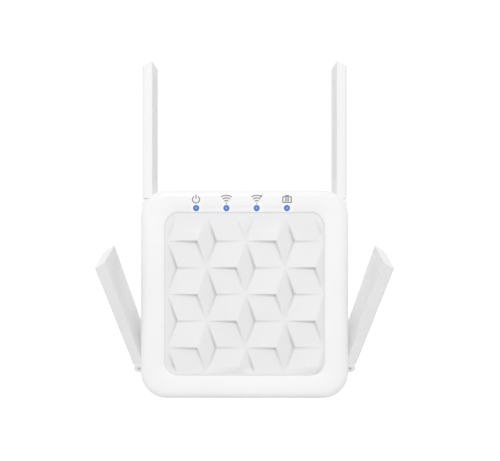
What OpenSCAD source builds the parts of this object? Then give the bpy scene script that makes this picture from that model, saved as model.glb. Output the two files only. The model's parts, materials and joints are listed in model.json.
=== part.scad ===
// Plug-in WiFi range extender with four folding antennas.
// World frame: +X right, +Z up, the front faces -Y, and Y = 0 is the wall plane.
// The housing and its boards are drawn lying down, with x right, y up and z out of
// the wall towards the front, and are then stood up by on_wall().

/* [Housing] */
// Width and height of the housing
body_w = 80; // [78:1:84]
// Radius of the housing's four corners seen from the front
corner_r = 10; // [8:0.5:11]
// Depth from the rear face to the front face
body_depth = 45; // [44:1:52]
// Radius of the soft edge around the front
edge_r = 3; // [2.5:0.5:6]
// Wall thickness
wall = 2; // [1.8:0.1:2.4]

/* [Relief panel] */
// Width of the recessed panel
panel_w = 61.2; // [58:0.2:62]
// Height of the recessed panel
panel_h = 62.4; // [58:0.2:62.4]
// Distance between neighbouring columns of stars
star_pitch = 15; // [14:0.1:16]
// Rise of the tilted faces at a diamond's left corner
relief_h = 0.8; // [0.4:0.1:1]

/* [Antennas] */
// Width of a blade, front to back
blade_w = 13; // [11:0.5:14]
// Thickness of a blade
blade_t = 4.5; // [4:0.1:5]
// Height of the pivots above and below the middle of the housing
pivot_z = 32; // [31:0.5:33]
// Distance from pivot to tip of the upper antennas
upper_reach = 69.5; // [60:0.5:74]
// Distance from pivot to tip of the lower antennas
lower_reach = 61; // [50:0.5:61]
// Forward lean of the lower antennas at rest
lower_lean = 38; // [30:1:60]
// Outward splay of the lower antennas at rest
lower_splay = 7.8; // [0:0.1:20]

/* [Plug] */
// Diameter of a plug pin
pin_d = 4; // [4:0.1:4.8]
// Distance between the plug pins
pin_pitch = 19; // [18.6:0.1:19.2]
// Length of a plug pin outside the housing
pin_length = 19; // [18:0.5:19]

/* [Hidden] */
$fn = 48;
gap = 0.3;
running = 0.05;
tight = 0.02;

plug_base_h = 3;
rear_z = plug_base_h;
front_z = rear_z + body_depth;
split_z = rear_z + 34;
seam = 0.2;
half = body_w / 2;
screw_places = [[-24, -33], [24, -33], [-24, 33], [24, 33]];
screw_head_z = 20;
screw_head_r = 2.6;
screw_r = 1.2;
boss_r = 3.6;
boss_top_z = 30;
cover_post_r = 3;

pin_shank_r = 1.5;
sleeve_length = 10;
sleeve_inset = 1;
sleeve_ring = 0.4;
spigot_wall = 0.25;

panel_y = 0.2;
panel_depth = 2.4;
panel_corner_r = 5.5;
panel_back_z = front_z - panel_depth;
panel_mean_z = front_z - 1;
diamond_half_w = 3;
diamond_half_h = 10.2;

led_count = 4;
led_pitch = 11.55;
led_first_x = -18.5;
led_y = 33;
led_d = 2.3;

side_x = half + 0.6;
upper_z = 10.9;
lower_z = 25.1;
hub_plate_t = 2;
shaft_r = 3;
shaft_length = 7.6;
shaft_bore_r = 1.2;
seat_r = 6.5;
seat_depth = 4.6;
hinge_reach = 6.5;
knuckle_r = blade_t / 2;
hinge_gap = knuckle_r + gap;
middle_knuckle_w = blade_w * 0.46;
hinge_pin_r = 0.8;
blade_bevel = 0.9;
blade_slope = 0.3;
tip_drop = 2.4;
upper_tip_tilt = 4.5;
lower_tip_tilt = -9;

board_z = 34;
board_t = 1.2;
board_front_z = board_z + board_t;
board_w = 64;
power_board_z = 8;
power_board_t = 1.6;
power_top_z = power_board_z + power_board_t;

jack_w = 16;
jack_h = 13.6;
jack_length = 19;
jack_cavity_w = 11.9;
jack_cavity_h = 8.4;
jack_cavity_depth = 13;
latch_w = 6.4;
jack_z = board_z - jack_h;
connector_x = 28;
connector_y = 22;
wps_x = -16;
reset_x = 16;
button_z = 27;
wps_r = 3;
reset_r = 1.2;

SIDES = [["left", -1], ["right", 1]];
LEVELS = ["upper", "lower"];
ANTENNA_PIECES = ["hub", "clip", "hinge_pin", "blade", "blade_cover", "element"];
BODY_NODES = [
    "front_cover", "relief_panel", "light_guide", "rear_housing", "housing_screws",
    "rating_label", "plug_base", "plug_pins", "pin_sleeves", "contact_leaves",
    "main_board", "status_leds", "shield_can", "wifi_chip", "memory_chips",
    "line_transformer", "heat_sink", "rj45_jack", "rj45_contacts", "antenna_connectors",
    "coax_leads", "board_header", "power_board", "transformer_core", "transformer_winding",
    "bulk_capacitors", "mains_choke", "bridge_rectifier", "fuse", "wps_switch",
    "reset_switch", "wps_button", "reset_button"
];

function led_x(i) = led_first_x + i * led_pitch;

// ---------------------------------------------------------------- helpers

module on_wall() {
    rotate([90, 0, 0])
        children();
}

module rounded_rect(w, h, r) {
    square([w - 2 * r, h], center = true);
    square([w, h - 2 * r], center = true);
    for (sx = [-1, 1])
        for (sy = [-1, 1])
            translate([sx * (w / 2 - r), sy * (h / 2 - r)])
                circle(r = r);
}

module rounded_block(w, h, r, z0, z1) {
    translate([0, 0, z0])
        linear_extrude(z1 - z0)
            rounded_rect(w, h, r);
}

module box(low, high) {
    translate(low)
        cube(high - low);
}

// A round post along z between two heights.
module post(r, z0, z1) {
    translate([0, 0, z0])
        cylinder(r = r, h = z1 - z0);
}

module quarter_disc(r) {
    intersection() {
        circle(r = r);
        square([r, r]);
    }
}

// A rounded block whose front edge is a soft quarter round.
module soft_block(w, r, soft_r, z0, z1) {
    edge_z = z1 - soft_r;
    straight = w - 2 * r;
    inner_r = r - soft_r;
    rounded_block(w, w, r, z0, edge_z);
    box([-straight / 2, soft_r - w / 2, edge_z], [straight / 2, w / 2 - soft_r, z1]);
    for (turn = [0:90:270])
        rotate([0, 0, turn]) {
            box([straight / 2, -straight / 2, edge_z], [w / 2 - soft_r, straight / 2, z1]);
            translate([straight / 2, straight / 2, edge_z])
                rotate_extrude(angle = 90) {
                    square([inner_r, soft_r]);
                    translate([inner_r, 0])
                        quarter_disc(soft_r);
                }
            translate([w / 2 - soft_r, straight / 2, edge_z])
                rotate([90, 0, 0])
                    linear_extrude(straight)
                        quarter_disc(soft_r);
        }
}

// ---------------------------------------------------------------- housing

module front_cover() {
    color("whitesmoke")
        on_wall() {
            difference() {
                soft_block(body_w, corner_r, edge_r, split_z, front_z);
                soft_block(body_w - 2 * wall, corner_r - wall, edge_r - wall, split_z - 1,
                           front_z - wall - panel_depth);
                translate([0, panel_y, 0])
                    rounded_block(panel_w, panel_h, panel_corner_r, panel_back_z, front_z + 1);
                for (i = [0:led_count - 1])
                    translate([led_x(i), led_y, 0])
                        post(led_d / 2 + running, board_z, front_z + 1);
            }
            for (place = screw_places)
                translate([place[0], place[1], 0])
                    difference() {
                        post(cover_post_r, boss_top_z + seam, front_z - wall - 1);
                        post(screw_r + running, boss_top_z, front_z - 4);
                    }
            box([-jack_w / 2, -half, board_z + seam], [jack_w / 2, -half + wall, split_z + 1]);
        }
}

// One face of the relief: a block whose four top corners have their own heights.
// It is drawn a little small, so that a hairline stays between neighbours.
module relief_face(corners, heights) {
    middle = (corners[0] + corners[2]) / 2;
    base = panel_back_z + 0.2 - panel_mean_z;
    edge = [for (c = corners) middle + (c - middle) * 0.985];
    low = [for (c = edge) [c[0], c[1], base]];
    high = [for (i = [0:3]) [edge[i][0], edge[i][1], heights[i]]];
    polyhedron(
        points = concat(low, high),
        faces = [[3, 2, 1, 0], [4, 5, 6, 7], [1, 5, 4, 0], [2, 6, 5, 1], [3, 7, 6, 2], [0, 4, 7, 3]]
    );
}

// The three faces that belong to one star: the diamond above it, the tilted face on
// its upper right and the level face on its lower right.
module star_faces() {
    dw = diamond_half_w;
    dh = diamond_half_h;
    far = star_pitch - dw;
    relief_face([[0, 0], [-dw, dh], [0, 2 * dh], [dw, dh]], [0, relief_h, 0, -relief_h]);
    relief_face([[0, 0], [dw, dh], [star_pitch, dh], [far, 0]], [0, -relief_h, 0, relief_h]);
    relief_face([[0, 0], [far, 0], [star_pitch, -dh], [dw, -dh]], [0, 0, 0, 0]);
}

module relief_panel() {
    color("white")
        on_wall()
            intersection() {
                translate([0, panel_y, 0])
                    rounded_block(panel_w - 0.2, panel_h - 0.2, panel_corner_r - 0.1,
                                  panel_back_z, front_z + 1);
                union() {
                    box([-half, -half, panel_back_z], [half, half, panel_back_z + 0.4]);
                    for (column = [-3:2])
                        for (row = [-3:2])
                            translate([
                                column * star_pitch + 0.9,
                                2 * diamond_half_h * (row + (column % 2 == 0 ? 0 : 0.5)),
                                panel_mean_z
                            ])
                                star_faces();
                }
            }
}

module light_guide() {
    color("lightblue")
        on_wall() {
            for (i = [0:led_count - 1])
                translate([led_x(i), led_y, 0])
                    post(led_d / 2, board_front_z + 1.2, front_z - 0.1);
            box([led_x(0) - 2, led_y - 1.5, 39], [led_x(led_count - 1) + 2, led_y + 1.5, 40.5]);
        }
}

module side_pivots() {
    for (side = SIDES)
        for (place = [[pivot_z, upper_z], [-pivot_z, lower_z]])
            translate([side[1] * half, place[0], place[1]])
                rotate([0, side[1] * 90, 0])
                    children();
}

module rear_shell() {
    difference() {
        union() {
            difference() {
                rounded_block(body_w, body_w, corner_r, rear_z, split_z - seam);
                rounded_block(body_w - 2 * wall, body_w - 2 * wall, corner_r - wall,
                              rear_z + wall, split_z);
            }
            side_pivots()
                post(seat_r, -seat_depth, 0);
            for (place = screw_places)
                translate([place[0], place[1], 0])
                    post(boss_r, rear_z, boss_top_z);
        }
        side_pivots()
            post(shaft_r + running, -seat_depth - 1, 1);
        for (place = screw_places)
            translate([place[0], place[1], 0]) {
                post(screw_head_r + seam, rear_z - 1, screw_head_z + 2);
                post(screw_r + 2 * seam, rear_z, split_z);
            }
    }
}

module vent_slots() {
    slot_w = 1.8;
    for (i = [-5:5]) {
        x = i * 3.8;
        box([x - slot_w / 2, half - wall - 1, 10], [x + slot_w / 2, half + 1, 26]);
        box([x - slot_w / 2, -30, rear_z - 1], [x + slot_w / 2, -19, rear_z + wall + 1]);
    }
}

module rear_housing() {
    color("whitesmoke")
        on_wall()
            difference() {
                rear_shell();
                vent_slots();
                box([-16.2, -7.2, rear_z - 1], [16.2, 7.2, rear_z + wall + 1]);
                box([-jack_w / 2 - seam, -half - 1, jack_z - seam],
                    [jack_w / 2 + seam, -half + wall + 1, split_z + 1]);
                translate([wps_x, -half - 1, button_z])
                    rotate([-90, 0, 0])
                        cylinder(r = wps_r + 0.25, h = wall + 2);
                translate([reset_x, -half - 1, button_z])
                    rotate([-90, 0, 0])
                        cylinder(r = reset_r + 0.25, h = wall + 2);
            }
}

module housing_screws() {
    color("silver")
        on_wall()
            for (place = screw_places)
                translate([place[0], place[1], 0])
                    difference() {
                        union() {
                            post(screw_head_r, screw_head_z, screw_head_z + 2);
                            post(screw_r, screw_head_z + 1, front_z - 6);
                        }
                        for (turn = [0, 90])
                            rotate([0, 0, turn])
                                box([-1.6, -0.4, screw_head_z - 1], [1.6, 0.4, screw_head_z + 1]);
                    }
}

module rating_label() {
    color("gainsboro")
        on_wall()
            translate([0, 21, 0])
                rounded_block(40, 18, 1.5, rear_z - 0.2, rear_z);
}

// ---------------------------------------------------------------- plug

module pin_places() {
    for (sx = [-1, 1])
        translate([sx * pin_pitch / 2, 0, 0])
            children();
}

module plug_base() {
    color("white")
        on_wall()
            difference() {
                union() {
                    rounded_block(38, 20, 4, 0, rear_z);
                    rounded_block(32, 14, 3, 0, rear_z + wall + 1.5);
                }
                pin_places() {
                    post(pin_shank_r + tight, -1, 20);
                    post(pin_d / 2 + sleeve_ring, -1, sleeve_inset + tight);
                }
            }
}

module plug_pins() {
    dome_r = pin_d / 2;
    color("silver")
        on_wall()
            pin_places() {
                post(pin_shank_r, -sleeve_length, power_board_z - 0.5);
                post(dome_r, dome_r - pin_length, -sleeve_length);
                translate([0, 0, dome_r - pin_length])
                    intersection() {
                        sphere(r = dome_r);
                        box([-dome_r, -dome_r, -dome_r], [dome_r, dome_r, 0.01]);
                    }
            }
}

module pin_sleeves() {
    color("dimgray")
        on_wall()
            pin_places()
                difference() {
                    union() {
                        post(pin_d / 2, -sleeve_length, 0);
                        post(pin_shank_r + spigot_wall, -sleeve_length, sleeve_inset);
                    }
                    post(pin_shank_r + tight, -sleeve_length - 1, sleeve_inset + 1);
                }
}

module contact_leaves() {
    color("goldenrod")
        on_wall()
            pin_places()
                box([-3, -2.5, power_board_z - 0.45], [3, 2.5, power_board_z]);
}

// ---------------------------------------------------------------- boards

module main_board() {
    color("seagreen")
        on_wall()
            difference() {
                rounded_block(board_w, board_w, 3, board_z, board_front_z);
                for (place = screw_places)
                    translate([place[0], place[1], 0])
                        post(boss_r, board_z - 1, board_front_z + 1);
            }
}

module status_leds() {
    color("deepskyblue")
        on_wall()
            for (i = [0:led_count - 1])
                translate([led_x(i), led_y, 0])
                    box([-1, -0.6, board_front_z], [1, 0.6, board_front_z + 0.8]);
}

module shield_can() {
    color("silver")
        on_wall()
            difference() {
                rounded_block(26, 26, 1, board_front_z, board_front_z + 2.4);
                rounded_block(25.4, 25.4, 0.7, board_front_z - 1, board_front_z + 2.1);
            }
}

module wifi_chip() {
    color("dimgray")
        on_wall()
            rounded_block(12, 12, 0.4, board_front_z, board_front_z + 1.1);
}

module memory_chips() {
    color("dimgray")
        on_wall()
            for (x = [-24, 24])
                box([x - 5, -4, board_front_z], [x + 5, 4, board_front_z + 1.2]);
}

module line_transformer() {
    color("dimgray")
        on_wall()
            box([-7, -25, board_front_z], [7, -17, board_front_z + 4]);
}

module heat_sink() {
    color("lightgray")
        on_wall() {
            box([-13, -10, board_z - 1.5], [13, 16, board_z]);
            for (i = [0:6])
                box([-13 + i * 4.2, -10, board_z - 7], [-12.2 + i * 4.2, 16, board_z - 1.4]);
        }
}

module rj45_jack() {
    side = jack_cavity_w / 2;
    mouth_y = -half + 0.2;
    color("silver")
        on_wall()
            difference() {
                box([-jack_w / 2, mouth_y, jack_z], [jack_w / 2, mouth_y + jack_length, board_z]);
                box([-side, mouth_y - 1, jack_z + 1.6],
                    [side, mouth_y + jack_cavity_depth, jack_z + 1.6 + jack_cavity_h]);
                box([-latch_w / 2, mouth_y - 1, jack_z + 1],
                    [latch_w / 2, mouth_y + jack_cavity_depth, jack_z + 3.6 + jack_cavity_h]);
            }
}

module rj45_contacts() {
    wire = 0.45;
    pitch = 1.02;
    color("gold")
        on_wall()
            for (i = [0:7])
                translate([(i - 3.5) * pitch, -half + 4, jack_z + 1.6])
                    box([-wire / 2, 0, 0], [wire / 2, 9.2, wire]);
}

module antenna_connectors() {
    color("gold")
        on_wall()
            for (sx = [-1, 1])
                for (sy = [-1, 1])
                    translate([sx * connector_x, sy * connector_y, 0])
                        post(1.3, board_z - 1.3, board_z);
}

// Straight runs of coaxial lead, rounded at every bend.
module lead(points, r) {
    for (i = [0:len(points) - 2])
        hull()
            for (end = [points[i], points[i + 1]])
                translate(end)
                    sphere(r = r, $fn = 10);
}

module coax_leads() {
    color("black")
        on_wall()
            for (sx = [-1, 1])
                for (level = [[1, upper_z], [-1, lower_z]])
                    lead([
                        [sx * connector_x, level[0] * connector_y, board_z - 1.9],
                        [sx * connector_x, level[0] * (connector_y + 4), board_z - 4],
                        [sx * 30.5, level[0] * pivot_z, level[1] + 4],
                        [sx * 31.5, level[0] * pivot_z, level[1]]
                    ], 0.55);
}

module board_header() {
    color("gold")
        on_wall()
            for (i = [0:3])
                box([-18 + i * 2.54, 20, power_top_z], [-17.4 + i * 2.54, 20.6, board_z]);
}

module power_board() {
    color("darkgreen")
        on_wall()
            box([-20, -14, power_board_z], [20, 29, power_top_z]);
}

module transformer_core() {
    color("dimgray")
        on_wall()
            difference() {
                box([0, 3, power_top_z], [17, 20, power_top_z + 14]);
                box([-1, 5, power_top_z + 3], [18, 18, power_top_z + 11]);
            }
}

module transformer_winding() {
    color("gold")
        on_wall()
            box([2, 5.1, power_top_z + 3.1], [15, 17.9, power_top_z + 10.9]);
}

module bulk_capacitors() {
    color("dimgray")
        on_wall()
            for (place = [[-14, 13, 4, 14], [-14, 3.5, 4, 14], [14, -4, 3.2, 11]])
                translate([place[0], place[1], 0])
                    post(place[2], power_top_z, power_top_z + place[3]);
}

module mains_choke() {
    color("goldenrod")
        on_wall()
            translate([-2, -6, power_top_z + 2.2])
                rotate_extrude()
                    translate([4, 0])
                        circle(r = 2.1);
}

module bridge_rectifier() {
    color("dimgray")
        on_wall()
            box([-18, -7, power_top_z], [-11, -2, power_top_z + 2.5]);
}

module fuse() {
    color("whitesmoke")
        on_wall()
            translate([3, 25, power_top_z + 1.9])
                rotate([0, 90, 0])
                    cylinder(r = 1.8, h = 10);
}

// ---------------------------------------------------------------- buttons

module tact_switch(x) {
    on_wall() {
        box([x - 3, -33.6, button_z - 3], [x + 3, -29.6, board_z]);
        translate([x, -34.3, button_z])
            rotate([-90, 0, 0])
                cylinder(r = 1, h = 1);
    }
}

module wps_switch() {
    color("dimgray")
        tact_switch(wps_x);
}

module reset_switch() {
    color("dimgray")
        tact_switch(reset_x);
}

// A push button through the bottom wall, with a flange that keeps it inside.
module push_button(x, r, flange_r, outer_y) {
    flange_y = -half + wall + 0.05;
    on_wall()
        translate([x, 0, button_z])
            rotate([-90, 0, 0]) {
                translate([0, 0, outer_y])
                    cylinder(r = r, h = -34.95 - outer_y);
                translate([0, 0, flange_y])
                    cylinder(r = flange_r, h = 1);
            }
}

module wps_button() {
    color("whitesmoke")
        push_button(wps_x, wps_r, wps_r + 1, -half - 0.9);
}

module reset_button() {
    color("gray")
        push_button(reset_x, reset_r, reset_r + 1, -half + 0.7);
}

// ---------------------------------------------------------------- antennas
// An antenna is drawn at its pivot on the right side: x away from the housing,
// y from front to back and z along the blade.

module hub() {
    arm_w = (blade_w - middle_knuckle_w) / 2 - gap;
    slot_w = middle_knuckle_w + 2 * gap;
    difference() {
        union() {
            rotate([0, 90, 0])
                cylinder(r = blade_w / 2, h = hub_plate_t);
            box([0, -blade_w / 2, 0], [hub_plate_t, blade_w / 2, hinge_reach - hinge_gap]);
            for (y = [-blade_w / 2, blade_w / 2 - arm_w]) {
                box([0, y, 0], [hub_plate_t, y + arm_w, hinge_reach]);
                translate([knuckle_r, y, hinge_reach])
                    rotate([-90, 0, 0])
                        cylinder(r = knuckle_r, h = arm_w);
            }
            rotate([0, -90, 0])
                cylinder(r = shaft_r, h = shaft_length);
        }
        box([-0.1, -slot_w / 2, hinge_reach - hinge_gap], [blade_t, slot_w / 2, 2 * hinge_reach]);
        translate([knuckle_r, -blade_w, hinge_reach])
            rotate([-90, 0, 0])
                cylinder(r = hinge_pin_r + tight, h = 2 * blade_w);
        translate([-shaft_length - 1, 0, 0])
            rotate([0, 90, 0])
                cylinder(r = shaft_bore_r, h = shaft_length + 1);
    }
}

// Retaining ring on the inner end of the swivel shaft.
module clip() {
    translate([-6.4, 0, 0])
        rotate([0, 90, 0])
            difference() {
                cylinder(r = shaft_r + 0.8, h = 0.8);
                translate([0, 0, -1])
                    cylinder(r = shaft_r + tight, h = 3);
            }
}

module hinge_pin() {
    translate([knuckle_r, 0.2 - blade_w / 2, hinge_reach])
        rotate([-90, 0, 0])
            cylinder(r = hinge_pin_r, h = blade_w - 0.4);
}

// Place of the blade's inner face, which slopes a little towards the housing at its back.
function inner_x(y) = -blade_slope * (y + blade_w / 2) / blade_w;

// The blade's section: flat towards the housing, bevelled on the outer edges.
module blade_section() {
    w = blade_w / 2;
    b = blade_bevel;
    polygon([
        [0, -w], [blade_t - b, -w], [blade_t, b - w],
        [blade_t, w - b], [blade_t - b, w], [inner_x(w), w]
    ]);
}

// The space under the tip, which falls away from the housing.
module tip_cut(reach) {
    slope = tip_drop / blade_t;
    rotate([90, 0, 0])
        linear_extrude(4 * blade_w, center = true)
            polygon([[-1, -reach - 5], [blade_t + 1, -reach - 5],
                     [blade_t + 1, -slope * (blade_t + 1)], [-1, slope]]);
}

module blade(reach, tip_tilt) {
    base_z = hinge_reach + hinge_gap;
    knuckle_w = middle_knuckle_w;
    difference() {
        union() {
            intersection() {
                translate([0, 0, base_z])
                    linear_extrude(reach + 2 - base_z)
                        blade_section();
                translate([0, -blade_w / 2, reach])
                    rotate([tip_tilt, 0, 0])
                        tip_cut(reach);
            }
            box([0, -knuckle_w / 2, hinge_reach], [blade_t, knuckle_w / 2, base_z + 1]);
            translate([knuckle_r, -knuckle_w / 2, hinge_reach])
                rotate([-90, 0, 0])
                    cylinder(r = knuckle_r, h = knuckle_w);
        }
        translate([knuckle_r, -blade_w, hinge_reach])
            rotate([-90, 0, 0])
                cylinder(r = hinge_pin_r + running, h = 2 * blade_w);
        box([-1, -4.5, base_z + 2.5], [3.2, 4.5, reach - 5]);
    }
}

module blade_cover(reach) {
    base_z = hinge_reach + hinge_gap;
    side = 4.4;
    translate([0, 0, base_z + 2.6])
        linear_extrude(reach - 5.1 - base_z - 2.6)
            polygon([[inner_x(-side) + 0.05, -side], [1, -side], [1, side], [inner_x(side) + 0.05, side]]);
}

module element(reach) {
    base_z = hinge_reach + hinge_gap;
    box([1.4, -3.5, base_z + 4], [2.2, 3.5, reach - 8]);
}

// Puts a piece of one antenna in its place. Pieces past the hinge also splay.
module placed(level, side, past_hinge) {
    upper = level == "upper";
    lean = upper ? 0 : lower_lean;
    splay = upper || !past_hinge ? 0 : lower_splay;
    translate([side * side_x, upper ? -upper_z : -lower_z, upper ? pivot_z : -pivot_z])
        mirror([side < 0 ? 1 : 0, 0, 0])
            rotate([lean, 0, 0])
                translate([knuckle_r, 0, hinge_reach])
                    rotate([0, splay, 0])
                        translate([-knuckle_r, 0, -hinge_reach])
                            children();
}

module antenna_piece(level, side, piece) {
    reach = level == "upper" ? upper_reach : lower_reach;
    tip_tilt = level == "upper" ? upper_tip_tilt : lower_tip_tilt;
    past_hinge = piece == "blade" || piece == "blade_cover" || piece == "element";
    placed(level, side, past_hinge) {
        if (piece == "hub") color("whitesmoke") hub();
        if (piece == "clip") color("silver") clip();
        if (piece == "hinge_pin") color("silver") hinge_pin();
        if (piece == "blade") color("white") blade(reach, tip_tilt);
        if (piece == "blade_cover") color("gainsboro") blade_cover(reach);
        if (piece == "element") color("goldenrod") element(reach);
    }
}

// ---------------------------------------------------------------- nodes

front_cover();
relief_panel();
light_guide();
rear_housing();
housing_screws();
rating_label();
plug_base();
plug_pins();
pin_sleeves();
contact_leaves();
main_board();
status_leds();
shield_can();
wifi_chip();
memory_chips();
line_transformer();
heat_sink();
rj45_jack();
rj45_contacts();
antenna_connectors();
coax_leads();
board_header();
power_board();
transformer_core();
transformer_winding();
bulk_capacitors();
mains_choke();
bridge_rectifier();
fuse();
wps_switch();
reset_switch();
wps_button();
reset_button();
for (level = LEVELS)
    for (side = SIDES)
        for (piece = ANTENNA_PIECES)
            antenna_piece(level, side[1], piece);
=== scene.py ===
"""The looks of a plug-in WiFi range extender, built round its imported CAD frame.

Everything is in metres in the frame's own axes: +X right, +Z up, the front faces -Y.
"""

import json
import math

import bmesh
import bpy
import numpy as np
from mathutils import Matrix, Vector


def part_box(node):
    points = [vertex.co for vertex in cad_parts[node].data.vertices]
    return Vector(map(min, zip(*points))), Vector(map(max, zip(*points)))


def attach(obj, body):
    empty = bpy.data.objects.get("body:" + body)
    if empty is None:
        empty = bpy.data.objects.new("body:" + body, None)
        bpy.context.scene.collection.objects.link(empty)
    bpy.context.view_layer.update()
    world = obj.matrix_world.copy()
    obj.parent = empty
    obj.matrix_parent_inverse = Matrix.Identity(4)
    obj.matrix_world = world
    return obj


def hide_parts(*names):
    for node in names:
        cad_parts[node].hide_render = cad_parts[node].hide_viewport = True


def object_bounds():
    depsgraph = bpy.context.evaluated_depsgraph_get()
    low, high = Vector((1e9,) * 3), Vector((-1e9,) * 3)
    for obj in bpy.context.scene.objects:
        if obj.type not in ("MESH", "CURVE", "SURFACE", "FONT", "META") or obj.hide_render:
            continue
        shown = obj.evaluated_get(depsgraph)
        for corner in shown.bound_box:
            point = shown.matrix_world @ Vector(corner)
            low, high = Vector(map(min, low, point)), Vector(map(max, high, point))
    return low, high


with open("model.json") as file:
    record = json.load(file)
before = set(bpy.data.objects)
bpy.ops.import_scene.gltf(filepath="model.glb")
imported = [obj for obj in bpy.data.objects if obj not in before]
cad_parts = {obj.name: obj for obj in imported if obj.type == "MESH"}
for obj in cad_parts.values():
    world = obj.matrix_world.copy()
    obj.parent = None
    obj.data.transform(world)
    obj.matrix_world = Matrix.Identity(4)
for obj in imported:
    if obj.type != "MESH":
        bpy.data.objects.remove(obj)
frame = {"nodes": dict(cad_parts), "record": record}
cad_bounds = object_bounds()

MM = 0.001

# Driving sizes of the front cover and the light guide
EDGE_R = 3 * MM  # soft edge round the front
CORNER_R = 10 * MM  # housing corner
WALL = 2 * MM
SEAM = 0.2 * MM
DISH = 0.8 * MM  # how far the border slopes down to the panel
LED_COUNT = 4
LED_R = 1.15 * MM
GUIDE_END = 2 * MM  # the light guide runs this far past the first and last window
ICON_RISE = 3.35 * MM  # the symbols' middles above the windows' middles
ICON_LINE = 0.4 * MM

# Driving sizes of the relief panel
PANEL_CORNER_R = 5.5 * MM
PANEL_GAP = 0.1 * MM  # between the panel and the cover's recess
STAR_PITCH = 15 * MM  # width of a column of the star pattern
STAR_SHIFT = 0.5 * MM  # a column's edge, right of the middle
DIAMOND_HALF_W = 3.7 * MM
DIAMOND_HALF_H = 10.2 * MM
RELIEF_H = 1.4 * MM  # height of the relief's highest corners over its middle plane
FACE_SINK = 0.4  # depth of a tilted face's low corner, as a share of its high one's height
RELIEF_STEP = 0.16 * MM  # spacing of the relief's mesh
RELIEF_SINK = 0.12 * MM  # how far the relief's middle lies below its rim
WALL_SLOPE = 0.25 * MM  # half the width of a sloped wall between two faces
RIM_OVERLAP = 0.14 * MM  # the panel's rim is let into the cover
SIDE_MARGIN = 1.0 * MM  # the relief fades out over these widths
BOTTOM_MARGIN = 2.6 * MM
TOP_MARGIN = 6 * MM

FLOOR_DROP = 32 * MM  # the product hangs on its plug, and its lower antennas swing below it

# Places read from the frame
cover_low, cover_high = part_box("front_cover")
panel_low, panel_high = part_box("relief_panel")
guide_low, guide_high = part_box("light_guide")
rear_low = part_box("rear_housing")[0]
jack_low, jack_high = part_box("rj45_jack")
board_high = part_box("main_board")[1]
half = cover_high.x
front_y = cover_low.y
split_y = rear_low.y - SEAM
jack_half_w = (jack_high.x - jack_low.x) / 2
tongue_end_y = board_high.y - SEAM
panel_half_w = panel_high.x
panel_half_h = (panel_high.z - panel_low.z) / 2
panel_z = (panel_high.z + panel_low.z) / 2
border_reach = half - panel_half_w - PANEL_GAP  # from the outline in to the panel's recess
led_z = (guide_low.z + guide_high.z) / 2
led_first_x = guide_low.x + GUIDE_END
led_pitch = (guide_high.x - guide_low.x - 2 * GUIDE_END) / (LED_COUNT - 1)


# ------------------------------------------------------------------ node helpers

def new_material(name):
    """A material with an empty node tree: (material, nodes, links, principled shader)."""
    material = bpy.data.materials.new(name)
    material.use_nodes = True
    tree = material.node_tree
    tree.nodes.clear()
    output = tree.nodes.new("ShaderNodeOutputMaterial")
    shader = tree.nodes.new("ShaderNodeBsdfPrincipled")
    tree.links.new(shader.outputs["BSDF"], output.inputs["Surface"])
    return material, tree.nodes, tree.links, shader


def principled(material):
    """The nodes, links and principled shader of a finished material."""
    tree = material.node_tree
    shader = next(node for node in tree.nodes if node.type == "BSDF_PRINCIPLED")
    return tree.nodes, tree.links, shader


def object_coordinates(nodes):
    return nodes.new("ShaderNodeTexCoord").outputs["Object"]


def noise(nodes, links, scale, detail, roughness=0.5, stretch_x=1.0):
    """A noise value over object coordinates, with scale in features per metre.

    A stretch_x under 1 draws the features out along x.
    """
    mapping = nodes.new("ShaderNodeMapping")
    mapping.inputs["Scale"].default_value = (stretch_x, 1, 1)
    texture = nodes.new("ShaderNodeTexNoise")
    texture.inputs["Scale"].default_value = scale
    texture.inputs["Detail"].default_value = detail
    texture.inputs["Roughness"].default_value = roughness
    links.new(object_coordinates(nodes), mapping.inputs["Vector"])
    links.new(mapping.outputs["Vector"], texture.inputs["Vector"])
    return texture.outputs["Fac"]


def ramp(nodes, links, value, stops):
    """A colour ramp through (position, colour) stops."""
    node = nodes.new("ShaderNodeValToRGB")
    elements = node.color_ramp.elements
    while len(elements) < len(stops):
        elements.new(0.5)
    for element, (position, colour) in zip(elements, stops):
        element.position = position
        element.color = (*colour, 1)
    links.new(value, node.inputs["Fac"])
    return node.outputs["Color"]


def map_range(nodes, links, value, low, high):
    """Takes a value from 0..1 to low..high."""
    node = nodes.new("ShaderNodeMapRange")
    node.inputs["To Min"].default_value = low
    node.inputs["To Max"].default_value = high
    links.new(value, node.inputs["Value"])
    return node.outputs["Result"]


def bump(nodes, links, shader, height, distance, strength=1.0):
    node = nodes.new("ShaderNodeBump")
    node.inputs["Distance"].default_value = distance
    node.inputs["Strength"].default_value = strength
    links.new(height, node.inputs["Height"])
    links.new(node.outputs["Normal"], shader.inputs["Normal"])


def math_node(nodes, links, operation, *values):
    """The result of an operation on numbers and sockets."""
    node = nodes.new("ShaderNodeMath")
    node.operation = operation
    for socket, value in zip(node.inputs, values):
        if isinstance(value, (int, float)):
            socket.default_value = value
        else:
            links.new(value, socket)
    return node.outputs["Value"]


def crowding(nodes, distance):
    """An ambient occlusion node that looks for other surfaces up to a distance away."""
    node = nodes.new("ShaderNodeAmbientOcclusion")
    node.samples = 16
    node.inputs["Distance"].default_value = distance
    return node


def shade(colour, amount):
    return tuple(min(1, max(0, c * amount)) for c in colour)


# ------------------------------------------------------------------ materials

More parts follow.
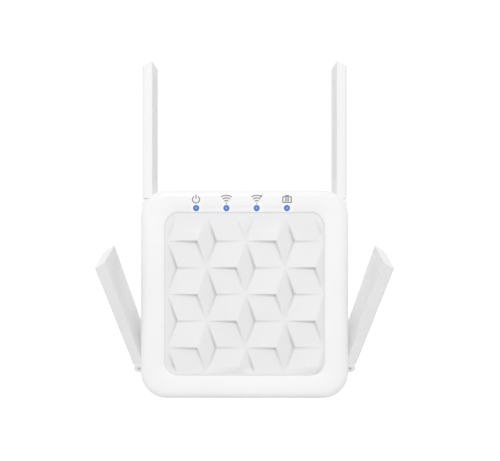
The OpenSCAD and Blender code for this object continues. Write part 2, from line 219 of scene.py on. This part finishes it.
def moulded_plastic(name, colour, roughness, grain=0.012 * MM, variation=0.012):
    """Injection-moulded plastic: a fine spark-eroded grain and slight flow shading."""
    material, nodes, links, shader = new_material(name)
    flow = noise(nodes, links, 45, 4)
    pale, dark = shade(colour, 1 + variation), shade(colour, 1 - variation)
    tint = ramp(nodes, links, flow, [(0.3, dark), (0.7, pale)])
    links.new(tint, shader.inputs["Base Color"])
    fine = noise(nodes, links, 3800, 2, 0.6)
    gloss = map_range(nodes, links, fine, roughness - 0.05, roughness + 0.05)
    links.new(gloss, shader.inputs["Roughness"])
    bump(nodes, links, shader, fine, grain)
    shader.inputs["IOR"].default_value = 1.5
    return material


def painted_fill_plastic(name, colour, roughness):
    """Plastic with painted light: it glows a little where close parts shade it, so it stays pale."""
    material = moulded_plastic(name, colour, roughness)
    nodes, links, shader = principled(material)
    # Painted fill light: the emission grows with the ambient occlusion from nearby parts.
    shaded = math_node(nodes, links, "SUBTRACT", 1.0, crowding(nodes, 14 * MM).outputs["AO"])
    links.new(math_node(nodes, links, "MULTIPLY", shaded, 0.2), shader.inputs["Emission Strength"])
    shader.inputs["Emission Color"].default_value = (1, 1, 1, 1)
    return material


def crease_shaded_plastic(name, colour, roughness):
    """Plastic with painted shade: its colour darkens at the foot of each step."""
    material = moulded_plastic(name, colour, roughness)
    nodes, links, shader = principled(material)
    # Painted shade: ambient occlusion darkens the colour in the relief's creases.
    corners = crowding(nodes, 0.95 * MM)
    links.new(shader.inputs["Base Color"].links[0].from_socket, corners.inputs["Color"])
    links.new(corners.outputs["Color"], shader.inputs["Base Color"])
    return material


def led_distance(nodes, links):
    """Distance in metres from the nearest status window's middle."""
    split = nodes.new("ShaderNodeSeparateXYZ")
    links.new(object_coordinates(nodes), split.inputs["Vector"])
    along = math_node(nodes, links, "SUBTRACT", split.outputs["X"], led_first_x)
    index = math_node(nodes, links, "ROUND", math_node(nodes, links, "DIVIDE", along, led_pitch))
    index = math_node(nodes, links, "MAXIMUM", index, 0)
    index = math_node(nodes, links, "MINIMUM", index, LED_COUNT - 1)
    nearest = math_node(nodes, links, "MULTIPLY", index, led_pitch)
    dx = math_node(nodes, links, "SUBTRACT", along, nearest)
    dz = math_node(nodes, links, "SUBTRACT", split.outputs["Z"], led_z)
    dx_squared = math_node(nodes, links, "MULTIPLY", dx, dx)
    dz_squared = math_node(nodes, links, "MULTIPLY", dz, dz)
    squared = math_node(nodes, links, "ADD", dx_squared, dz_squared)
    return math_node(nodes, links, "SQRT", squared)


def cover_plastic(name, colour, roughness):
    """The shell's plastic with painted blue light leaking round each status window."""
    material = moulded_plastic(name, colour, roughness)
    nodes, links, shader = principled(material)
    # Painted light: the shell glows blue close to each window.
    reach = math_node(nodes, links, "DIVIDE", led_distance(nodes, links), 4 * LED_R)
    glow = ramp(nodes, links, reach, [
        (0.24, (0.30, 0.42, 0.80)), (0.36, (0.20, 0.24, 0.42)), (0.55, (0.0, 0.0, 0.0))])
    links.new(glow, shader.inputs["Emission Color"])
    shader.inputs["Emission Strength"].default_value = 0.35
    return material


def lit_window(name):
    """A clear blue light guide, lit from behind and brightest in its middle."""
    material, nodes, links, shader = new_material(name)
    reach = math_node(nodes, links, "DIVIDE", led_distance(nodes, links), LED_R)
    colour = ramp(nodes, links, reach, [
        (0.0, (0.24, 0.33, 0.72)), (0.3, (0.11, 0.20, 0.54)),
        (0.6, (0.045, 0.12, 0.42)), (1.0, (0.06, 0.14, 0.44))])
    links.new(colour, shader.inputs["Base Color"])
    links.new(colour, shader.inputs["Emission Color"])
    shader.inputs["Emission Strength"].default_value = 0.22
    grain = noise(nodes, links, 2500, 2)
    links.new(map_range(nodes, links, grain, 0.12, 0.22), shader.inputs["Roughness"])
    return material


def metal(name, colour, roughness, brushed, scale=1200):
    """Bare metal with fine scratches. A brushed of 0 to 1 draws them out along x."""
    material, nodes, links, shader = new_material(name)
    value = noise(nodes, links, scale, 4, stretch_x=1 - brushed)
    tint = ramp(nodes, links, value, [(0.35, shade(colour, 0.9)), (0.65, shade(colour, 1.05))])
    links.new(tint, shader.inputs["Base Color"])
    gloss = map_range(nodes, links, value, roughness - 0.06, roughness + 0.1)
    links.new(gloss, shader.inputs["Roughness"])
    shader.inputs["Metallic"].default_value = 1
    bump(nodes, links, shader, value, 0.006 * MM)
    return material


def circuit_board(name, mask, copper):
    """Solder mask over a pattern of copper tracks."""
    material, nodes, links, shader = new_material(name)
    bricks = nodes.new("ShaderNodeTexBrick")
    bricks.inputs["Scale"].default_value = 160
    bricks.inputs["Mortar Size"].default_value = 0.035
    bricks.inputs["Color1"].default_value = (*mask, 1)
    bricks.inputs["Color2"].default_value = (*shade(mask, 0.8), 1)
    bricks.inputs["Mortar"].default_value = (*copper, 1)
    links.new(object_coordinates(nodes), bricks.inputs["Vector"])
    links.new(bricks.outputs["Color"], shader.inputs["Base Color"])
    weave = noise(nodes, links, 2600, 2)
    links.new(map_range(nodes, links, weave, 0.25, 0.4), shader.inputs["Roughness"])
    bump(nodes, links, shader, bricks.outputs["Fac"], 0.02 * MM, 0.6)
    return material


WHITE = (0.82, 0.82, 0.82)
MATERIALS = {
    "white_shell": moulded_plastic("shell_white", WHITE, 0.33),
    "lit_cover": cover_plastic("cover_white", WHITE, 0.33),
    "relief_white": crease_shaded_plastic("relief_white", (0.755, 0.755, 0.755), 0.42),
    "antenna_white": painted_fill_plastic("antenna_white", WHITE, 0.32),
    "antenna_inner": painted_fill_plastic("antenna_inner_white", (0.80, 0.80, 0.80), 0.42),
    "light_guide": lit_window("status_window_blue"),
    "label": moulded_plastic("label_stock", (0.66, 0.67, 0.68), 0.5, variation=0.03),
    "plug_white": moulded_plastic("plug_white", (0.74, 0.74, 0.74), 0.5, grain=0.03 * MM),
    "button_white": moulded_plastic("button_white", (0.78, 0.78, 0.79), 0.35),
    "button_grey": moulded_plastic("button_grey", (0.12, 0.125, 0.13), 0.5, variation=0.05),
    "sleeve_black": moulded_plastic("sleeve_black", (0.02, 0.02, 0.022), 0.5, variation=0.08),
    "chip_black": moulded_plastic(
        "epoxy_black", (0.018, 0.018, 0.02), 0.45, grain=0.03 * MM, variation=0.1),
    "ferrite": moulded_plastic("ferrite", (0.045, 0.045, 0.05), 0.6, grain=0.05 * MM, variation=0.15),
    "tape_yellow": moulded_plastic("winding_tape", (0.62, 0.42, 0.05), 0.3, variation=0.06),
    "capacitor": moulded_plastic("capacitor_sleeve", (0.02, 0.03, 0.09), 0.3, variation=0.08),
    "ceramic": moulded_plastic("fuse_ceramic", (0.66, 0.62, 0.52), 0.25, variation=0.05),
    "led_blue": lit_window("led_blue"),
    "steel": metal("zinc_steel", (0.62, 0.62, 0.64), 0.3, 0.8),
    "jack_metal": metal("jack_shield", (0.60, 0.60, 0.61), 0.28, 0.85),
    "aluminium": metal("heat_sink_aluminium", (0.66, 0.66, 0.68), 0.35, 0.8),
    "nickel": metal("pin_nickel", (0.70, 0.68, 0.64), 0.2, 0.6),
    "brass": metal("spring_brass", (0.72, 0.50, 0.20), 0.3, 0.8),
    "gold": metal("contact_gold", (0.80, 0.56, 0.20), 0.22, 0.5),
    "copper": metal("winding_copper", (0.55, 0.20, 0.08), 0.35, 0.9, 2600),
    "antenna_strip": metal("antenna_copper", (0.60, 0.30, 0.14), 0.35, 0.7),
    "icon_ink": moulded_plastic("icon_ink", (0.2, 0.2, 0.2), 0.5, variation=0.05),
    "board_green": circuit_board("solder_mask", (0.012, 0.11, 0.045), (0.05, 0.22, 0.08)),
}
SLOT_OF = {row["node"]: row["material_slot"] for row in frame["record"]["subparts"]}
BODIES = frame["record"]["behaviour"]["bodies"]
BODY_OF = {node: body for body, members in BODIES.items() for node in members}


# ------------------------------------------------------------------ mesh helpers

def finish_piece(obj, body, slot, *nodes, material=None):
    """Gives a piece its material and its body, and hides the CAD nodes that it stands for."""
    obj.data.materials.clear()
    obj.data.materials.append(MATERIALS[material or slot])
    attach(obj, body)
    if nodes:
        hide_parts(*nodes)


def object_from(bm, name, sharp=35):
    """A smooth-shaded object from a bmesh, with its edges over sharp degrees kept hard."""
    bmesh.ops.recalc_face_normals(bm, faces=bm.faces)
    mesh = bpy.data.meshes.new(name)
    bm.to_mesh(mesh)
    bm.free()
    for polygon in mesh.polygons:
        polygon.use_smooth = True
    mesh.set_sharp_from_angle(angle=math.radians(sharp))
    obj = bpy.data.objects.new(name, mesh)
    bpy.context.scene.collection.objects.link(obj)
    weighted = obj.modifiers.new("even_normals", "WEIGHTED_NORMAL")
    weighted.keep_sharp = True
    return obj


def apply_modifiers(obj):
    depsgraph = bpy.context.evaluated_depsgraph_get()
    mesh = bpy.data.meshes.new_from_object(obj.evaluated_get(depsgraph))
    obj.modifiers.clear()
    obj.data = mesh


def round_edges(bm, radius):
    """Rounds every edge that turns by more than 30 degrees."""
    hard = math.radians(30)
    edges = [e for e in bm.edges if len(e.link_faces) == 2 and e.calc_face_angle() > hard]
    bmesh.ops.bevel(bm, geom=edges, offset=radius, segments=3, profile=0.5,
                    affect="EDGES", clamp_overlap=True)


def refined(node, radius):
    """Makes a finished copy of a CAD node: flat faces rejoined and hard edges rounded."""
    bm = bmesh.new()
    bm.from_mesh(frame["nodes"][node].data)
    bmesh.ops.remove_doubles(bm, verts=bm.verts, dist=1e-7)
    bmesh.ops.dissolve_limit(bm, angle_limit=math.radians(0.5), verts=bm.verts, edges=bm.edges)
    round_edges(bm, radius)
    piece = object_from(bm, node + "_finished")
    finish_piece(piece, BODY_OF[node], SLOT_OF[node], node)


def rounded_ring(half_w, half_h, corner_r, middle_z, y):
    """Points round a rounded rectangle that faces the front, at depth y."""
    segments = 14
    points = []
    for quarter, (sx, sz) in enumerate(((1, 1), (-1, 1), (-1, -1), (1, -1))):
        cx = sx * (half_w - corner_r)
        cz = middle_z + sz * (half_h - corner_r)
        for i in range(segments + 1):
            angle = math.pi / 2 * (quarter + i / segments)
            x = cx + corner_r * math.cos(angle)
            z = cz + corner_r * math.sin(angle)
            points.append(Vector((x, y, z)))
    return points


def join_rows(bm, rows):
    """Closes a solid through rows of vertices: faces between the rows and over both ends."""
    count = len(rows[0])
    for a, b in zip(rows, rows[1:]):
        for i in range(count):
            j = (i + 1) % count
            bm.faces.new((a[i], a[j], b[j], b[i]))
    bm.faces.new(rows[0])
    bm.faces.new(rows[-1])


def loft(rings):
    """A closed solid through rings with equal numbers of points."""
    bm = bmesh.new()
    join_rows(bm, [[bm.verts.new(p) for p in ring] for ring in rings])
    return bm


# ------------------------------------------------------------------ front cover

def border_depth(inset):
    """How far the border lies behind the front plane, at a distance inside the outline."""
    if inset < EDGE_R:
        return EDGE_R - math.sqrt(EDGE_R ** 2 - (EDGE_R - inset) ** 2)
    share = (inset - EDGE_R) / (half - panel_half_w - EDGE_R)
    return DISH * min(share, 1.0) ** 2


def border_ring(inset, depth=None):
    """The ring of the border at a distance inside the outline."""
    share = inset / border_reach
    half_w = half - inset
    half_h = half + share * (panel_half_h + PANEL_GAP - half)
    corner = CORNER_R + share * (PANEL_CORNER_R - CORNER_R)
    y = front_y + (border_depth(inset) if depth is None else depth)
    return rounded_ring(half_w, half_h, corner, share * panel_z, y)


def front_cover():
    """The front shell, lofted from the panel's recess over the border and back up its inside."""
    floor_depth = panel_high.y - front_y + 0.05 * MM
    lip_r = 0.15 * MM  # rounds the recess's edge
    rim_r = 0.35 * MM  # rounds the edge at the parting line
    edge_steps = [EDGE_R * (1 - math.cos(math.pi / 2 * i / 12)) for i in range(13)]
    dish_reach = border_reach - lip_r - EDGE_R
    dish_steps = [EDGE_R + dish_reach * i / 10 for i in range(1, 11)]
    rings = [border_ring(border_reach, floor_depth), border_ring(border_reach, DISH + lip_r)]
    for angle in (math.pi / 6, math.pi / 3):
        inset = border_reach - lip_r * (1 - math.cos(angle))
        rings.append(border_ring(inset, DISH + lip_r * (1 - math.sin(angle))))
    rings += [border_ring(inset) for inset in reversed(edge_steps + dish_steps)]
    rings.append(border_ring(0, split_y - front_y - rim_r))
    ceiling = front_y + floor_depth + WALL
    for inset, y in (
        (0.3 * rim_r, split_y - 0.3 * rim_r), (rim_r, split_y),
        (WALL, split_y), (WALL, ceiling),
    ):
        rings.append(rounded_ring(half - inset, half - inset, CORNER_R - inset, 0, y))
    ceiling_half_w = half - 3 * WALL
    rings.append(rounded_ring(ceiling_half_w, ceiling_half_w, CORNER_R - 2 * WALL, 0, ceiling))
    cover = object_from(loft(rings), "front_cover_shell", sharp=50)
    cut_led_holes(cover)
    add_tongue(cover)
    finish_piece(cover, "housing", "white_shell", "front_cover", material="lit_cover")


def cylinder(bm, centre, radius, reach):
    """Adds a closed cylinder that runs reach either way along Y."""
    made = bmesh.ops.create_cone(bm, cap_ends=True, segments=48, radius1=radius,
                                 radius2=radius, depth=2 * reach)["verts"]
    lying = Matrix.Rotation(math.pi / 2, 3, "X")
    bmesh.ops.rotate(bm, verts=made, cent=(0, 0, 0), matrix=lying)
    bmesh.ops.translate(bm, verts=made, vec=centre)


def add_tongue(cover):
    """Adds the strip of the bottom wall that closes the rear housing's notch under the jack."""
    low = Vector((-jack_half_w, split_y - 0.5 * MM, -half))
    high = Vector((jack_half_w, tongue_end_y, -half + WALL))
    bm = bmesh.new()
    bm.from_mesh(cover.data)
    block = bmesh.ops.create_cube(bm, size=1)["verts"]
    bmesh.ops.scale(bm, verts=block, vec=high - low)
    bmesh.ops.translate(bm, verts=block, vec=(low + high) / 2)
    bm.to_mesh(cover.data)
    bm.free()


def led_places():
    """The x of each status window's middle."""
    return [led_first_x + i * led_pitch for i in range(LED_COUNT)]


def cut_led_holes(cover):
    hole_r = LED_R + 0.06 * MM
    bm = bmesh.new()
    for x in led_places():
        cylinder(bm, (x, front_y, led_z), hole_r, 9 * MM)
    cutter = object_from(bm, "led_cutter")
    cut = cover.modifiers.new("led_holes", "BOOLEAN")
    cut.object = cutter
    cut.solver = "EXACT"
    cover.modifiers.move(1, 0)  # the holes come before the even normals
    apply_modifiers(cover)
    bpy.data.objects.remove(cutter)


def domed_disc(bm, x, z, radius, top_y):
    """Adds a disc with a softly domed front, made of rings from its back to near its middle."""
    # (share of the radius, millimetres behind the dome's top)
    dome = [(1.0, 0.9), (1.0, 0.16), (0.97, 0.09), (0.86, 0.04), (0.6, 0.01), (0.3, 0.0)]
    segments = 40
    rows = []
    for share, back in dome:
        row = []
        for k in range(segments):
            angle = 2 * math.pi * k / segments
            px = x + radius * share * math.cos(angle)
            pz = z + radius * share * math.sin(angle)
            row.append(bm.verts.new((px, top_y + back * MM, pz)))
        rows.append(row)
    join_rows(bm, rows)


def status_windows():
    """The light guide's four round ends, just under the border's surface."""
    bm = bmesh.new()
    top_y = front_y + border_depth(half - led_z) + 0.02 * MM
    for x in led_places():
        domed_disc(bm, x, led_z, LED_R, top_y)
    windows = object_from(bm, "status_windows", sharp=60)
    finish_piece(windows, "housing", "light_guide", "light_guide")


# ------------------------------------------------------------------ relief panel

def relief_height(x, z):
    """Height of the sharp star relief over its middle plane, for arrays of points.

    Each column of the pattern holds tilted and level faces by turns, half a period higher in
    every second column. A diamond stands on each line between two columns and slopes down to
    the right.
    """
    column = np.floor((x - STAR_SHIFT) / STAR_PITCH)
    u = x - STAR_SHIFT - column * STAR_PITCH
    period = 2 * DIAMOND_HALF_H
    v = np.mod(z - (column % 2) * DIAMOND_HALF_H, period)
    far = STAR_PITCH - DIAMOND_HALF_W
    t = v / DIAMOND_HALF_H
    s = (u - DIAMOND_HALF_W * t) / far
    tilted = RELIEF_H * (s * (1 - t) - FACE_SINK * (1 - s) * t)
    height = np.where(v < DIAMOND_HALF_H, tilted, 0.0)
    from_middle = np.abs(v - DIAMOND_HALF_H) / DIAMOND_HALF_H
    left = u < DIAMOND_HALF_W * (1 - from_middle)
    right = STAR_PITCH - u < DIAMOND_HALF_W * from_middle
    height = np.where(left, -RELIEF_H * u / DIAMOND_HALF_W, height)
    return np.where(right, RELIEF_H * (STAR_PITCH - u) / DIAMOND_HALF_W, height)


def soft_relief_height(x, z):
    """The relief with its walls sloped and its valleys rounded, level along the rim."""
    steps = np.linspace(-WALL_SLOPE, WALL_SLOPE, 7)
    height = sum(relief_height(x + a, z + b) for a in steps for b in steps) / len(steps) ** 2
    from_side = panel_half_w - np.abs(x)
    from_bottom = panel_half_h + (z - panel_z)
    from_top = panel_half_h - (z - panel_z)
    from_end = np.minimum(from_bottom, from_top)
    corner = np.hypot(np.clip(PANEL_CORNER_R - from_side, 0, None),
                      np.clip(PANEL_CORNER_R - from_end, 0, None))
    from_rim = np.minimum.reduce([
        from_side / SIDE_MARGIN, from_bottom / BOTTOM_MARGIN, from_top / TOP_MARGIN,
        (PANEL_CORNER_R - corner) / SIDE_MARGIN])
    share = np.clip(from_rim - 0.25, 0, 1)
    return share * (height - RELIEF_SINK)


def relief_grid():
    """Points over the panel, rows from its bottom up: arrays of x and z."""
    columns = round(2 * panel_half_w / RELIEF_STEP)
    rows = round(2 * panel_half_h / RELIEF_STEP)
    level = np.linspace(-1, 1, rows + 1) * (panel_half_h + RIM_OVERLAP)
    over = np.clip(np.abs(level) - (panel_half_h + RIM_OVERLAP - PANEL_CORNER_R), 0, None)
    edge = panel_half_w - PANEL_CORNER_R + np.sqrt(np.clip(PANEL_CORNER_R ** 2 - over ** 2, 0, None))
    edge += RIM_OVERLAP
    x = np.linspace(-1, 1, columns + 1)[None, :] * edge[:, None]
    z = np.repeat(level[:, None], columns + 1, axis=1) + panel_z
    return x, z


def relief_panel():
    """The star relief as one surface, closed by a wall round its rim and a flat back."""
    x, z = relief_grid()
    middle_y = front_y + DISH + 0.15 * MM
    y = middle_y - soft_relief_height(x, z)
    bm = bmesh.new()
    grid = [[bm.verts.new(point) for point in zip(*row)] for row in zip(x, y, z)]
    for low, high in zip(grid, grid[1:]):
        for c in range(len(low) - 1):
            bm.faces.new((low[c], low[c + 1], high[c + 1], high[c]))
    right = [row[-1] for row in grid[1:]]
    left = [row[0] for row in grid[-2:0:-1]]
    rim = grid[0] + right + grid[-1][-2::-1] + left
    base = [bm.verts.new((v.co.x, panel_high.y, v.co.z)) for v in rim]
    for i in range(len(rim)):
        j = (i + 1) % len(rim)
        bm.faces.new((rim[j], rim[i], base[i], base[j]))
    bm.faces.new(base)
    panel = object_from(bm, "star_relief", sharp=60)
    finish_piece(panel, "housing", "relief_white", "relief_panel")


# ------------------------------------------------------------------ icons

def icon_surface_y(z):
    """The border's surface above the panel, at height z."""
    share = (half - z) / (half - panel_z - panel_half_h)
    inset = share * (half - panel_half_w)
    return front_y + border_depth(inset)


def printed_strip(bm, path, width=ICON_LINE):
    """A thin printed line along a path of (x, z) points, laid on the border."""
    film = 0.03 * MM
    rows = []
    for i, (x, z) in enumerate(path):
        before = Vector(path[max(i - 1, 0)])
        after = Vector(path[min(i + 1, len(path) - 1)])
        direction = (after - before).normalized()
        side = Vector((-direction.y, direction.x)) * width / 2
        row = []
        for sign, offset in ((-1, -film), (1, -film), (1, film), (-1, film)):
            px = x + sign * side.x
            pz = z + sign * side.y
            row.append(bm.verts.new((px, icon_surface_y(pz) + offset, pz)))
        rows.append(row)
    join_rows(bm, rows)


def arc_path(cx, cz, radius, start, end, steps=16):
    """Points on an arc from start to end, in degrees anticlockwise from the right."""
    angles = [math.radians(start + (end - start) * i / steps) for i in range(steps + 1)]
    return [(cx + radius * math.cos(a), cz + radius * math.sin(a)) for a in angles]


def line_path(a, b, steps=6):
    start, end = Vector(a), Vector(b)
    return [tuple(start.lerp(end, i / steps)) for i in range(steps + 1)]


def power_icon(bm, x, z):
    """An open ring with an upright bar in its gap."""
    printed_strip(bm, arc_path(x, z - 0.15 * MM, 1.35 * MM, 125, 415, 30))
    printed_strip(bm, line_path((x, z + 0.1 * MM), (x, z + 1.75 * MM)))


def signal_icon(bm, x, z):
    """Three arcs over a dot."""
    foot = z - 1.75 * MM
    for radius in (1.2, 2.2, 3.2):
        printed_strip(bm, arc_path(x, foot, radius * MM, 52, 128))
    dot = line_path((x, foot - 0.05 * MM), (x, foot + 0.4 * MM), 2)
    printed_strip(bm, dot, 0.45 * MM)


def link_icon(bm, x, z):
    """The signal symbol with a stroke at its upper right."""
    signal_icon(bm, x, z)
    printed_strip(bm, line_path((x + 1.15 * MM, z + 0.6 * MM), (x + 2.1 * MM, z + 1.7 * MM)))


def port_icon(bm, x, z):
    """A network socket: a frame, three contacts and a latch."""
    half_w = 1.6 * MM
    latch_half_w = 0.7 * MM
    contact_pitch = 0.55 * MM
    contact_inset = 0.35 * MM
    low = z - 1.3 * MM
    high = z + 0.9 * MM
    latch_z = high + 0.45 * MM
    for side in (-half_w, half_w):
        printed_strip(bm, line_path((x + side, low), (x + side, high)))
    for height in (low, high):
        printed_strip(bm, line_path((x - half_w, height), (x + half_w, height)))
    for i in (-1, 0, 1):
        contact_x = x + i * contact_pitch
        contact = line_path((contact_x, low + contact_inset), (contact_x, high - contact_inset))
        printed_strip(bm, contact, 0.8 * ICON_LINE)
    printed_strip(bm, line_path((x - latch_half_w, latch_z), (x + latch_half_w, latch_z)))


def icons():
    """One printed symbol over each status window."""
    bm = bmesh.new()
    for x, draw in zip(led_places(), (power_icon, signal_icon, link_icon, port_icon)):
        draw(bm, x, led_z + ICON_RISE)
    symbols = object_from(bm, "status_icons", sharp=30)
    finish_piece(symbols, "housing", "button_grey", material="icon_ink")


# ------------------------------------------------------------------ stage

def by_camera_ray(nodes, links, others, seen, output):
    """Shows one shader to the camera and another to all other rays."""
    mix = nodes.new("ShaderNodeMixShader")
    path = nodes.new("ShaderNodeLightPath")
    links.new(path.outputs["Is Camera Ray"], mix.inputs["Fac"])
    links.new(others, mix.inputs[1])
    links.new(seen, mix.inputs[2])
    links.new(mix.outputs["Shader"], output.inputs["Surface"])


def floor_material():
    """Pale to look at, and dim enough in its bounce to leave the underside in shade."""
    material, nodes, links, shader = new_material("studio_floor")
    shader.inputs["Base Color"].default_value = (0.92, 0.92, 0.92, 1)
    shader.inputs["Roughness"].default_value = 0.9
    shader.inputs["Specular IOR Level"].default_value = 0.1
    shader.inputs["Emission Color"].default_value = (1, 1, 1, 1)
    shader.inputs["Emission Strength"].default_value = 0.3
    matt = nodes.new("ShaderNodeBsdfDiffuse")
    matt.inputs["Color"].default_value = (0.8, 0.8, 0.8, 1)
    output = next(node for node in nodes if node.type == "OUTPUT_MATERIAL")
    by_camera_ray(nodes, links, matt.outputs["BSDF"], shader.outputs["BSDF"], output)
    return material


def floor():
    size = 6.0
    floor_z = cad_bounds[0][2] - FLOOR_DROP
    bm = bmesh.new()
    around = ((-1, -1), (1, -1), (1, 1), (-1, 1))
    bm.faces.new([bm.verts.new((sx * size, sy * size, floor_z)) for sx, sy in around])
    ground = object_from(bm, "floor")
    ground.data.materials.append(floor_material())


def area_light(name, place, size, energy):
    """A round soft light, turned towards the product's middle."""
    data = bpy.data.lights.new(name, "AREA")
    data.shape = "DISK"
    data.size = size
    data.energy = energy
    light = bpy.data.objects.new(name, data)
    light.location = place
    aim = Vector((0, 0, 0.02)) - Vector(place)
    light.rotation_euler = aim.to_track_quat("-Z", "Y").to_euler()
    bpy.context.scene.collection.objects.link(light)


def lighting():
    """White all round, a key light from above and left, and a weak light from the front."""
    world = bpy.data.worlds.new("studio")
    bpy.context.scene.world = world
    world.use_nodes = True
    nodes, links = world.node_tree.nodes, world.node_tree.links
    nodes.clear()
    seen = nodes.new("ShaderNodeBackground")
    seen.inputs["Color"].default_value = (1, 1, 1, 1)
    seen.inputs["Strength"].default_value = 1.05
    fill = nodes.new("ShaderNodeBackground")
    fill.inputs["Color"].default_value = (1, 1, 1, 1)
    height = nodes.new("ShaderNodeSeparateXYZ")
    links.new(nodes.new("ShaderNodeTexCoord").outputs["Generated"], height.inputs["Vector"])
    strength = nodes.new("ShaderNodeMapRange")
    strength.inputs["From Min"].default_value = -1
    strength.inputs["To Min"].default_value = 0.88
    strength.inputs["To Max"].default_value = 0.9
    links.new(height.outputs["Z"], strength.inputs["Value"])
    links.new(strength.outputs["Result"], fill.inputs["Strength"])
    output = nodes.new("ShaderNodeOutputWorld")
    by_camera_ray(nodes, links, fill.outputs["Background"], seen.outputs["Background"], output)
    area_light("key", (-0.15, -0.8, 0.75), 0.25, 2.4)
    area_light("front", (0, -0.8, 0.02), 0.5, 0.65)


def camera():
    """Straight on and close, so that the blades' inner sides show."""
    distance = 0.2  # from the housing's outline, where the front's edge is widest
    height = 0.0087
    data = bpy.data.cameras.new("camera")
    data.sensor_width = 36
    data.lens = 37.26
    data.shift_x = 0.0108
    data.shift_y = 0.0824
    data.clip_start = 0.01
    obj = bpy.data.objects.new("camera", data)
    obj.location = (0, front_y + EDGE_R - distance, height)
    obj.rotation_euler = (math.pi / 2, 0, 0)
    bpy.context.scene.collection.objects.link(obj)
    bpy.context.scene.camera = obj
    bpy.context.scene.view_settings.view_transform = "Standard"


# ------------------------------------------------------------------ build

# Radius in millimetres of the rounded edges of the housing's finished copies
ROUNDED_NODES = {
    "rear_housing": 0.45, "plug_base": 0.5, "rating_label": 0.05, "rj45_jack": 0.15,
    "wps_button": 0.3, "reset_button": 0.15, "housing_screws": 0.1, "plug_pins": 0.1,
    "heat_sink": 0.1, "transformer_core": 0.3, "bulk_capacitors": 0.3, "pin_sleeves": 0.05,
}
# The same for the finished copies in each antenna
ROUNDED_ANTENNA_NODES = {"blade": 0.3, "blade_cover": 0.08, "hub": 0.3}

camera()
lighting()
floor()
front_cover()
status_windows()
relief_panel()
icons()
for node, radius in ROUNDED_NODES.items():
    refined(node, radius * MM)
for level in ("upper", "lower"):
    for side in ("left", "right"):
        for piece, radius in ROUNDED_ANTENNA_NODES.items():
            refined(f"{level}_{side}_{piece}", radius * MM)

# The CAD nodes that no finished piece replaces
for name, obj in frame["nodes"].items():
    if not obj.hide_render:
        for material_slot in obj.material_slots:
            material_slot.material = MATERIALS[SLOT_OF[name]]
